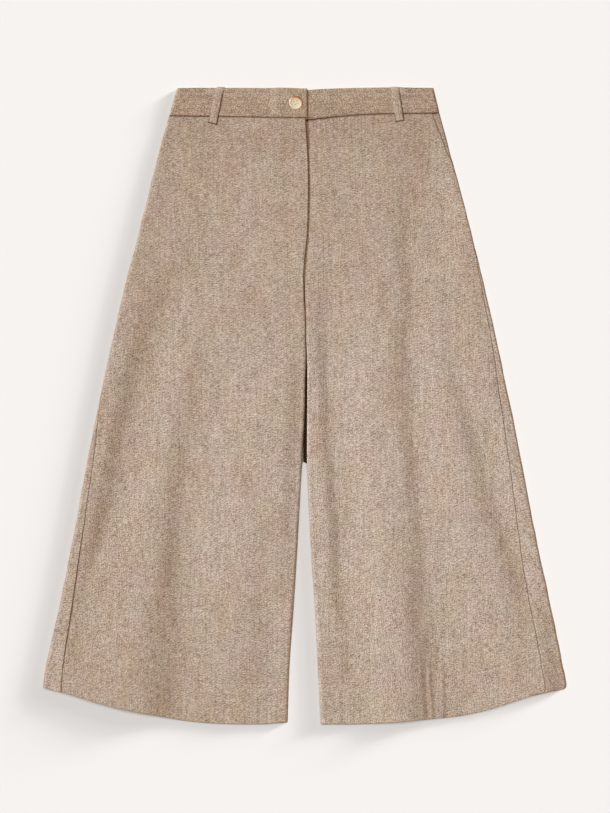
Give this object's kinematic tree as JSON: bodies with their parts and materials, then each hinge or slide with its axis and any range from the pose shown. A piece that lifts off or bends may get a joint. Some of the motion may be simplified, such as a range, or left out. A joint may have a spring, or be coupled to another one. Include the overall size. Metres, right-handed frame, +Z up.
{
  "type": "culottes",
  "caption": "Wide midi culottes in marled wool-mix cloth, laid flat with the front up: fly front, waistband closed by a button, belt loops and turned-up hems.",
  "frame": {"origin": "middle of the underside, on the surface that the garment lies on", "axes": "+Z up from the surface to the front of the garment, +Y towards the waistband, +X towards the wearer's left side"},
  "size_m": [0.682, 0.8298, 0.0142],
  "materials": {
    "wool_cloth": "marled beige-brown wool-mix twill, matte",
    "band_cloth": "the same cloth, doubled and pressed",
    "loop_cloth": "the same cloth, folded into a strip",
    "button_resin": "cream to tan horn-effect resin, satin"
  },
  "bodies": {
    "root": {"front_right": "wool_cloth", "front_left": "wool_cloth", "back_right": "wool_cloth", "back_left": "wool_cloth", "waistband_right": "band_cloth", "waistband_left": "band_cloth", "waistband_back": "band_cloth", "belt_loop_right": "loop_cloth", "belt_loop_left": "loop_cloth", "button": "button_resin"}
  },
  "joints": []
}
